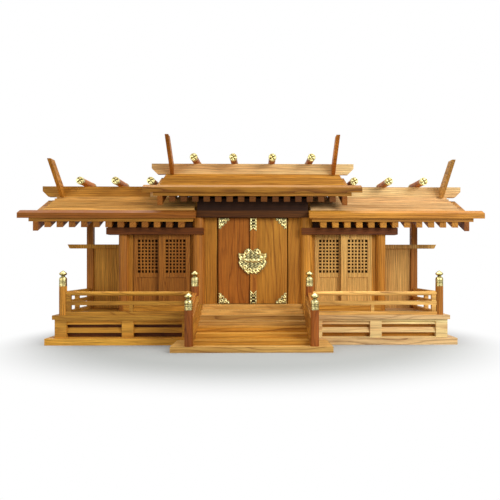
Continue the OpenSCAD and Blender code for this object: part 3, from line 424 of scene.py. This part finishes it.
# Chased sheet: patina gathers in a fine dotted ground
def makeSheetBrass():
    material, tree = startBrass("sheetBrass")
    where = addNode(tree, "ShaderNodeTexCoord")
    dots = addNode(tree, "ShaderNodeTexVoronoi", {"Vector": where.outputs["Object"]},
                   Scale=brass["dots"])
    hollow = addNode(tree, "ShaderNodeMapRange", {"Value": dots.outputs["Distance"]},
                     From_Min=0.25, From_Max=0.75, To_Min=0.0, To_Max=0.7)
    finishBrass(tree, hollow.outputs[0])
    return material


# Raised work: patina follows the attribute that each relief carries
def makeReliefBrass():
    material, tree = startBrass("reliefBrass")
    low = addNode(tree, "ShaderNodeAttribute", attribute_name="hollow")
    finishBrass(tree, low.outputs["Fac"])
    return material


caps = {
    "upperRim": 88.0, "lowerRim": 58.0,  # mm above the shelf where the caps begin
    "height": 24.0,
    "stairEnd": -0.1,                    # metres: in front of it stand only the lower posts
    "leaves": 430.0,                     # waves per metre
    # share of the height, and how dark the painted shade is there
    "shadeBands": ((0.0, 0.45), (0.05, 0.0), (0.18, 0.0), (0.22, 0.95), (0.25, 0.1), (0.30, 0.1),
              (0.33, 0.95), (0.37, 0.05), (0.47, 0.0), (0.57, 0.35), (0.66, 0.95), (0.72, 0.2),
              (0.82, 0.0), (0.92, 0.25), (0.97, 0.85), (1.0, 0.9)),
}


# Cap brass: painted shade and painted dark reflections in the grooves, neck and tip, by the height
# above the cap's own rim, and small cells over the bud have dark edges, like cut leaves
def makeCapBrass():
    material, tree = startBrass("capBrass")
    where = addNode(tree, "ShaderNodeTexCoord")
    parts = addNode(tree, "ShaderNodeSeparateXYZ", {0: where.outputs["Object"]})
    low = calc(tree, "LESS_THAN", parts.outputs[1], caps["stairEnd"])
    drop = calc(tree, "MULTIPLY", low, caps["upperRim"] - caps["lowerRim"])
    rim = calc(tree, "SUBTRACT", caps["upperRim"], drop)
    up = calc(tree, "SUBTRACT", calc(tree, "MULTIPLY", parts.outputs[2], 1000.0), rim)
    ramp = addNode(tree, "ShaderNodeValToRGB", {0: calc(tree, "DIVIDE", up, caps["height"])})
    stops = ramp.color_ramp.elements
    stops[0].position, stops[0].color = caps["shadeBands"][0][0], (caps["shadeBands"][0][1],) * 3 + (1,)
    stops[1].position, stops[1].color = caps["shadeBands"][-1][0], (caps["shadeBands"][-1][1],) * 3 + (1,)
    for at, grey in caps["shadeBands"][1:-1]:
        stops.new(at).color = (grey, grey, grey, 1)
    work = addNode(tree, "ShaderNodeTexVoronoi", {"Vector": where.outputs["Object"]},
                   Scale=caps["leaves"])
    cut = addNode(tree, "ShaderNodeMapRange", {"Value": work.outputs["Distance"]},
                  From_Min=0.40, From_Max=0.75, To_Min=0.0, To_Max=0.6)
    finishBrass(tree, calc(tree, "MAXIMUM", ramp.outputs[0], cut.outputs[0]))
    return material


# A cut of the grain every size mm along one axis, and nowhere else
def along(axis, size, start=0.0):
    cut, first = [1e6] * 3, [-5e5] * 3
    for one, value, begin in zip(axis, np.atleast_1d(size), np.atleast_1d(start)):
        cut["xyz".index(one)] = value
        first["xyz".index(one)] = begin
    return tuple(cut), tuple(first)


# painted shade deep in a lattice, on the inner faces of its bars, for a panel in the front or rear
# groove
paintedShadeFront = (("Y", 2.96, 4.3, "heart", 0.35),)
paintedShadeRear = (("Y", 9.26, 10.6, "heart", 0.35),)

# what each part is cut from: the way of its grain, its tone and where its boards part.
# Many tones also carry painted light: parts and zones on the right are paler and lighter than their
# twins on the left, as painted light from the right.
timber = {
    # painted light: the right half (X above 0) is paler, a painted sheen of the light from the
    # right
    "wing_base": dict(grain="x", tone="gold", gain=1.38, pith=(40, -60),
                      zones=(("X", 0, 999, "straw", 1.0),)),
    "stair_base": dict(grain="x", tone="pale", gain=0.85, pith=(-10, -45)),
    "plinth_walls": dict(grain="x", tone="honey", pith=(30, -80)),
    # painted light and shade: the right front is paler than the left, as painted light from the
    # right, and behind the slats (Y -72 to 0) both are darker, as painted shade
    "left_plinth_front": dict(grain="x", tone="gold", pith=(60, 12),
                              zones=(("Y", -72, 0, "heart", 0.55),)),
    "right_plinth_front": dict(grain="x", tone="straw", gain=1.35, pith=(60, 12),
                               zones=(("Y", -72, 0, "honey", 1.2),)),
    # painted light: the right part (X above 90) is lighter and paler than the rest
    "deck": dict(grain="x", tone="gold", gain=0.77, pith=(30, -70),
                 zones=(("X", 90, 999, "straw", 0.95),)),
    "stair_sides": dict(grain="y", tone="honey", gain=0.8, pith=(30, 60), wander=4),
    "stair_handrails": dict(grain="y", tone="amber", pith=(40, 60)),
    # painted light: the right railing is paler and lighter than the left one
    "left_railing": dict(grain="x", tone="gold", gain=0.74, pith=(40, 50), cell=along("z", 13, 45)),
    "right_railing": dict(grain="x", tone="pale", pith=(40, 50), cell=along("z", 13, 45)),
    # painted light: the right stair post (X 0 to 120) is lighter than the left one
    "railing_posts": dict(grain="z", tone="honey", gain=1.05, pith=(25, 30),
                          cell=along("x", 60, -310),
                          zones=(("X", -120, 0, "heart", 0.98), ("X", 0, 120, "heart", 1.28),
                                 ("X", 120, 999, "amber", 0.90))),
    # painted light: the right columns (X above 0) are lighter than the left ones
    "columns": dict(grain="z", tone="amber", gain=0.92, pith=(20, 40), cell=along("x", 90, -260),
                    wander=4, zones=(("X", 0, 999, "honey", 1.15),)),
    "centre_floor": dict(grain="x", tone="gold"),
    "centre_walls": dict(grain="z", tone="honey", pith=(30, 80)),
    "outer_walls": dict(grain="z", tone="amber", gain=0.93, pith=(30, 80)),
    # painted shade: what lies in front of Y 96.5 is darker, standing for the shade within the
    # shrine
    "back_wall": dict(grain="z", tone="honey", pith=(0, 90), cell=along("x", 96, -432),
                      zones=(("Y", 0, 96.5, "russet", 0.62),)),
    "door_jambs": dict(grain="z", tone="honey", pith=(0, 60)),
    "wing_sills": dict(grain="x", tone="gold"),
    # painted shade: the lintels and above all the wall plates are made darker, standing for the
    # shade beneath the eaves
    "centre_lintel": dict(grain="x", tone="russet", gain=0.24),
    "wing_lintels": dict(grain="x", tone="heart", gain=0.50),
    "wall_plates": dict(grain="x", tone="heart", gain=0.12),
    # painted light: the right leaf is lighter and more golden than the left one
    "left_main_door": dict(grain="z", tone="russet", gain=1.02, pith=(-75, 150),
                           pitch=3.0, wander=6),
    "right_main_door": dict(grain="z", tone="honey", gain=0.94, pith=(95, 160),
                            pitch=3.0, wander=6),
    "closing_batten": dict(grain="z", tone="amber", gain=1.1, pith=(0, 40), wander=3),
    # painted light: the right panels are paler and lighter than the left ones
    "left_outer_panel": dict(grain="z", tone="amber", gain=0.76, pith=(-172, 12), pitch=2.4,
                             zones=paintedShadeRear),
    "left_inner_panel": dict(grain="z", tone="amber", gain=0.76, pith=(-129, 12), pitch=2.4,
                             zones=paintedShadeFront),
    "right_inner_panel": dict(grain="z", tone="pale", gain=0.92, pith=(129, 12), pitch=2.4,
                              zones=paintedShadeRear),
    "right_outer_panel": dict(grain="z", tone="pale", gain=0.92, pith=(172, 12), pitch=2.4,
                              zones=paintedShadeFront),
    "ridge_posts": dict(grain="z", tone="amber", pith=(0, 90)),
    # painted light: the right half (X above 0) is paler than the left
    "side_screens": dict(grain="z", tone="gold", gain=1.1, pith=(0, 120), cell=along("x", 31, -310),
                         zones=(("X", 0, 999, "pale", 0.95),)),
    "roof_base_boards": dict(grain="x", tone="honey", gain=0.75),
    # painted light: the right half (X above 0) is lighter than the left, and the centre eave (Z
    # above 230) has a yellower tone, partly a painted highlight
    "eave_boards": dict(grain="x", tone="russet", gain=0.76, pith=(10, 235), wander=3,
                        zones=(("X", 0, 999, "honey", 1.1), ("Z", 230, 999, "honey", 0.68))),
    "centre_shingles": dict(grain="x", tone="gold", gain=0.8, cell=along("y", 12.3, -7), wander=4),
    # painted light: the right roof is paler and lighter than the left one
    "left_shingles": dict(grain="x", tone="pale", gain=0.90, cell=along("y", 10.8, -11), wander=4),
    "right_shingles": dict(grain="x", tone="straw", gain=0.95, cell=along("y", 10.8, -11),
                           wander=4),
    # painted shade: the centre rafters are made dark, standing for the shade beneath the centre
    # eave
    "centre_rafters": dict(grain="y", tone="russet", gain=0.42, cell=along("x", 18.63, -9.3)),
    # painted light: the right rafters are lighter than the left ones
    "left_rafters": dict(grain="y", tone="amber", gain=0.8, cell=along("x", 19.5, -339.25)),
    "right_rafters": dict(grain="y", tone="honey", cell=along("x", 19.5, -7.8)),
    "bargeboards": dict(grain="y", tone="russet", gain=0.8),
    # painted light: the left wing's ridge (X below -180) is darker than the rest
    "ridge_boards": dict(grain="x", tone="gold", gain=0.85, pith=(70, 200), wander=4,
                         zones=(("X", -180, 999, "straw", 1.22),)),
    "ridge_logs": dict(grain="y", tone="russet", pith=(0, 220), cell=along("x", 30, -310)),
    # painted light: the right horns (X above 250) are paler than the left ones
    "roof_horns": dict(grain="y", tone="amber", cell=along("x", 50, -350),
                       zones=(("X", 250, 999, "pale", 0.8), ("X", -999, -250, "honey", 0.85))),
}
# painted light: the steps are given lighter tones the higher they stand
for count in range(1, 8):
    tone, gain = (("gold", 0.84), ("gold", 0.95), ("pale", 0.84), ("pale", 1.05))[count // 2]
    timber["step_%d" % count] = dict(grain="x", tone=tone, gain=gain, wander=5, pitch=3.0,
                                     pith=(-20 * count, -30 + 13 * count))


def dressFrame():
    makeGrain()
    for count, (name, how) in enumerate(sorted(timber.items())):
        material = makeWood(name + "Wood", seed=count + 1, **how)
        nodes[name].data.materials.clear()
        nodes[name].data.materials.append(material)
    sheet = makeSheetBrass()
    fittings = {"post_caps": makeCapBrass(), "left_door_brass": sheet, "right_door_brass": sheet,
                "log_caps": sheet}
    for name, material in fittings.items():
        nodes[name].data.materials.clear()
        nodes[name].data.materials.append(material)
    print("wood and brass on", len(timber) + len(fittings), "of", len(nodes), "parts")


# A closed thin piece between a front and a back sheet of points, each rows by columns by 3 in
# millimetres. The four edges are closed with strips, and points that meet are made one.
# hollow, rows by columns, says how much patina the front carries.
def addRelief(name, front, back, hollow, body):
    rows, columns = front.shape[:2]
    points = np.concatenate([front.reshape(-1, 3), back.reshape(-1, 3)]) / 1000
    number = np.arange(rows * columns).reshape(rows, columns)
    behind = number + rows * columns
    quads = [np.stack([number[:-1, :-1], number[1:, :-1], number[1:, 1:], number[:-1, 1:]], -1),
             np.stack([behind[:-1, :-1], behind[:-1, 1:], behind[1:, 1:], behind[1:, :-1]], -1)]
    for near, far in ((number[0], behind[0]), (number[-1], behind[-1]),
                      (number[:, 0], behind[:, 0]), (number[:, -1], behind[:, -1])):
        quads.append(np.stack([near[:-1], near[1:], far[1:], far[:-1]], -1))
    faces = np.concatenate([quad.reshape(-1, 4) for quad in quads])
    mesh = bpy.data.meshes.new(name)
    mesh.from_pydata(points.tolist(), [], faces.tolist())
    patina = mesh.attributes.new("hollow", "FLOAT", "POINT")
    patina.data.foreach_set("value", np.concatenate([hollow.ravel(), hollow.ravel() * 0]))
    work = bmesh.new()
    work.from_mesh(mesh)
    bmesh.ops.remove_doubles(work, verts=work.verts, dist=2e-6)
    bmesh.ops.recalc_face_normals(work, faces=work.faces)
    work.to_mesh(mesh)
    work.free()
    mesh.shade_smooth()
    mesh.materials.append(bpy.data.materials["reliefBrass"])
    piece = bpy.data.objects.new(name, mesh)
    bpy.context.scene.collection.objects.link(piece)
    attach(piece, body)


# Distance from a centre to an outline, for each angle: where the ray meets the outline's edges
def reachOf(outline, centre, angles):
    start = np.array(outline, float) - centre
    end = np.roll(start, -1, axis=0)
    ray = np.stack([np.cos(angles), np.sin(angles)], -1)[:, None, :]
    edge = (end - start)[None]
    turn = ray[..., 0] * edge[..., 1] - ray[..., 1] * edge[..., 0]
    turn = np.where(np.abs(turn) < 1e-9, 1e-9, turn)
    far = (start[None, :, 0] * edge[..., 1] - start[None, :, 1] * edge[..., 0]) / turn
    share = (start[None, :, 0] * ray[..., 1] - start[None, :, 1] * ray[..., 0]) / turn
    hit = (share >= -1e-6) & (share <= 1 + 1e-6) & (far > 1e-6)
    return np.where(hit, far, 0).max(1)


# A smooth hump of height 1 at value, falling to 0 over width
def hump(place, value, width):
    return np.exp(-((place - value) / width) ** 2)


plate = {
    "wide": 47.0, "high": 44.0, "middle": 125.95,  # mm, and height of its middle
    "meets": -4.5, "gap": 1.0,                     # where the two leaves meet
    "face": -0.2,                                  # front of the sheet that carries the relief
    "relief": 1.3,
    # right half from its top to its foot, as parts of half the width and height
    "scroll": ((0, 0.77), (0.13, 0.95), (0.36, 1), (0.55, 0.84), (0.6, 0.61), (0.81, 0.59),
               (0.98, 0.66), (1, 0.36), (0.91, 0.14), (1, -0.05), (0.89, -0.36), (0.74, -0.55),
               (0.66, -0.43), (0.6, -0.59), (0.55, -0.77), (0.43, -0.82), (0.3, -1),
               (0.15, -0.89), (0, -0.95)),
    "curls": ((17, 9, 3.2), (10, 16, 3.4), (13, -10, 3.2), (5, -15, 2.8)),  # x, z, radius in mm
}


# The scrolled plate: a fan of rays from the middle of the meeting line, on which the height is
# a sum of a winged ridge across the middle, leaves made by two crossing waves, round curls and
# a bead along the scrolled edge
def addCentrePlate():
    half = np.array(plate["scroll"]) * (plate["wide"] / 2, plate["high"] / 2)
    outline = np.concatenate([half, (half * (-1, 1))[-2:0:-1]])
    ring = np.linspace(0, 1, 40)[:, None]
    for side, body in ((-1, "left_main_door"), (1, "right_main_door")):
        middle = np.array([plate["meets"] + side * plate["gap"] / 2, 0.0])
        angles = np.linspace(-math.pi / 2, math.pi / 2, 150)
        angles = angles if side > 0 else math.pi - angles
        reach = reachOf(outline, middle, angles) * 0.985
        x = middle[0] + ring * reach * np.cos(angles)
        z = middle[1] + ring * reach * np.sin(angles)
        out = np.abs(x)
        away = np.hypot(x / (plate["wide"] / 2), z / (plate["high"] / 2))
        leaves = 0.5 + 0.5 * np.cos(0.95 * x + 2.2 * np.sin(0.45 * z)) * np.cos(0.85 * z + away)
        wing = hump(z, 1.2 + 3.6 * (out / 20) ** 2, 2.0) * np.clip(1.15 - out / 22, 0, 1)
        curl = sum(hump(np.hypot(out - cx, z - cz), size, 1.0) for cx, cz, size in plate["curls"])
        shape = 0.55 * leaves + 0.95 * wing + 0.75 * np.clip(curl, 0, 1)
        shape = shape + 0.55 * hump(ring, 0.93, 0.04)
        shape = np.clip(shape, 0, 1.1) * np.clip((1 - ring) / 0.05, 0, 1)
        front = np.stack([x, plate["face"] - plate["relief"] * shape, z + plate["middle"]], -1)
        back = np.stack([x, x * 0 + plate["face"], z + plate["middle"]], -1)
        addRelief("centreScroll" + ("L" if side < 0 else "R"), front, back,
                  np.clip(1.0 - 1.45 * shape, 0, 0.93), body)


# all in mm
corner = {
    "leg": 20.0, "outer": 56.1, "low": 56.65, "high": 197.75,
    "face": 2.3, "relief": 0.8,
    "straight": 0.87,                      # share of the leg that the straight line reaches
    "lobes": 4, "lobeHigh": 2.0,
    "curls": ((4.5, 4.5, 2.0), (10.5, 3.2, 1.7), (3.2, 10.5, 1.7)),  # inward, up, radius
    "hinge": (53.9, 6.5), "swing": 4.92,  # hinge line in plan, and how far out the work may reach
}


# Corner plates: a fan of rays from the outer corner, as long as a straight line across the
# corner with a wave of lobes on it. The height is a bead along the edges and three curls, kept
# within a circle about the hinge line so that the plate swings past its jamb.
def addCornerPlates():
    angles = np.linspace(0, math.pi / 2, 70)
    ring = np.linspace(0, 1, 26)[:, None]
    share = np.sin(angles) / (np.sin(angles) + np.cos(angles))
    straight = corner["leg"] * corner["straight"] / (np.sin(angles) + np.cos(angles))
    lobes = np.abs(np.sin(math.pi * corner["lobes"] * share)) ** 0.8
    reach = straight + corner["lobeHigh"] * lobes
    inward, up = ring * reach * np.cos(angles), ring * reach * np.sin(angles)
    curl = sum(hump(np.hypot(inward - a, up - b), size, 0.75) for a, b, size in corner["curls"])
    shape = 0.75 * np.clip(curl, 0, 1) + 0.6 * hump(ring, 0.9, 0.06)
    shape = shape + 0.35 * hump(inward, 0.9, 0.5) + 0.35 * hump(up, 0.9, 0.5)
    edge = np.clip((1 - ring) / 0.06, 0, 1)
    edge = edge * np.clip(inward / 0.4, 0, 1) * np.clip(up / 0.4, 0, 1)
    past = np.clip(corner["outer"] - inward - corner["hinge"][0], 0, None)
    room = np.sqrt(corner["swing"] ** 2 - past ** 2) - (corner["hinge"][1] - corner["face"])
    rise = np.minimum(corner["relief"] * np.clip(shape, 0, 1) * edge, room)
    shape = rise / corner["relief"]
    for side, body in ((-1, "left_main_door"), (1, "right_main_door")):
        for level, way in ((corner["low"], 1), (corner["high"], -1)):
            x = side * (corner["outer"] - inward)
            z = level + way * up
            front = np.stack([x, corner["face"] - rise, z], -1)
            back = np.stack([x, x * 0 + corner["face"], z], -1)
            name = "cornerScroll" + ("L" if side < 0 else "R") + ("Low" if way > 0 else "High")
            addRelief(name, front, back, np.clip(0.9 - 1.4 * shape, 0, 0.88), body)


# all in mm, and the waves of the curls along the batten and across half of it
strap = {"left": -4.0, "wide": 10.4, "high": 22.0, "face": -0.2, "relief": 0.6,
         "curlAlong": 1.15, "curlAcross": 4.2}


# Plates on the batten's ends: a grid across and along the batten whose far edge is forked.
# The height is a bead along the edge and two rows of curls, a wave of both parameters.
def addBattenPlates():
    across = np.linspace(-1, 1, 29)
    share = np.linspace(0, 1, 40)[:, None]
    length = strap["high"] - strap["wide"] / 2 * (1 - np.abs(across))
    x = strap["left"] + strap["wide"] / 2 * (1 + across * 0.97) + share * 0
    run = share * length
    curl = np.sin(run * strap["curlAlong"]) * np.cos(np.abs(across) * strap["curlAcross"] - 0.6)
    curl = np.clip(curl, 0, 1)
    bead = hump(np.abs(across) + share * 0, 0.86, 0.10) + hump(share + across * 0, 0.93, 0.05)
    shape = np.clip(0.75 * curl + 0.8 * bead, 0, 1)
    edge = np.clip((1 - np.abs(across)) / 0.06, 0, 1) * np.clip((1 - share) / 0.04, 0, 1)
    shape = shape * edge
    for level, way, name in ((corner["low"], 1, "Low"), (corner["high"], -1, "High")):
        z = level + way * run
        front = np.stack([x, strap["face"] - strap["relief"] * shape, z], -1)
        back = np.stack([x, x * 0 + strap["face"], z], -1)
        addRelief("battenScroll" + name, front, back, np.clip(0.9 - 1.3 * shape, 0, 0.88),
                  "right_main_door")


disc = {
    "radius": 6.3, "relief": 0.9, "petals": 4,
    "centrePitch": 66.9,                 # mm between the logs of the centre roof
    "wingFirst": 173, "wingPitch": 59.7,  # the wings' first log, and from one to the next
    "axisIn": 6.5,                       # from the highest or lowest cap's edge to its axis
}


# Discs on the log ends: rings about the log's own axis, with a height of four broad petals,
# a wave of the angle, within a bead
def addLogDiscs():
    ring = np.linspace(0, 1, 22)[:, None]
    angles = np.linspace(0, 2 * math.pi, 65)
    petals = np.clip(1.7 * np.abs(np.cos(disc["petals"] / 2 * angles + 0.5)) - 0.45, 0, 1)
    shape = 0.9 * hump(ring, 0.9, 0.06) + petals * hump(ring, 0.5, 0.32)
    shape = np.clip(shape, 0, 1) * np.clip((1 - ring) / 0.04, 0, 1)
    shape = shape + angles * 0
    low, high = (np.array(end) * 1000 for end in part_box("log_caps"))
    centreZ, wingZ = high[2] - disc["axisIn"], low[2] + disc["axisIn"]
    places = [(k * disc["centrePitch"], centreZ) for k in (-1.5, -0.5, 0.5, 1.5)]
    places += [(side * (disc["wingFirst"] + k * disc["wingPitch"]), wingZ)
               for side in (-1, 1) for k in (0, 1, 2)]
    for count, (middle, level) in enumerate(places):
        for face, way, end in ((low[1], -1, "Front"), (high[1], 1, "Rear")):
            x = middle + ring * disc["radius"] * np.cos(angles)
            z = level + ring * disc["radius"] * np.sin(angles)
            front = np.stack([x, face + way * disc["relief"] * shape, z], -1)
            back = np.stack([x, x * 0 + face, z], -1)
            addRelief("logDisc%s%02d" % (end, count), front, back,
                      np.clip(0.95 - 1.4 * shape, 0, 0.92), "shrine")


addCamera()
addStudio()
dressFrame()
makeReliefBrass()
addCentrePlate()
addCornerPlates()
addBattenPlates()
addLogDiscs()
print("brass relief made")
bpy.context.scene.view_settings.view_transform = "Standard"
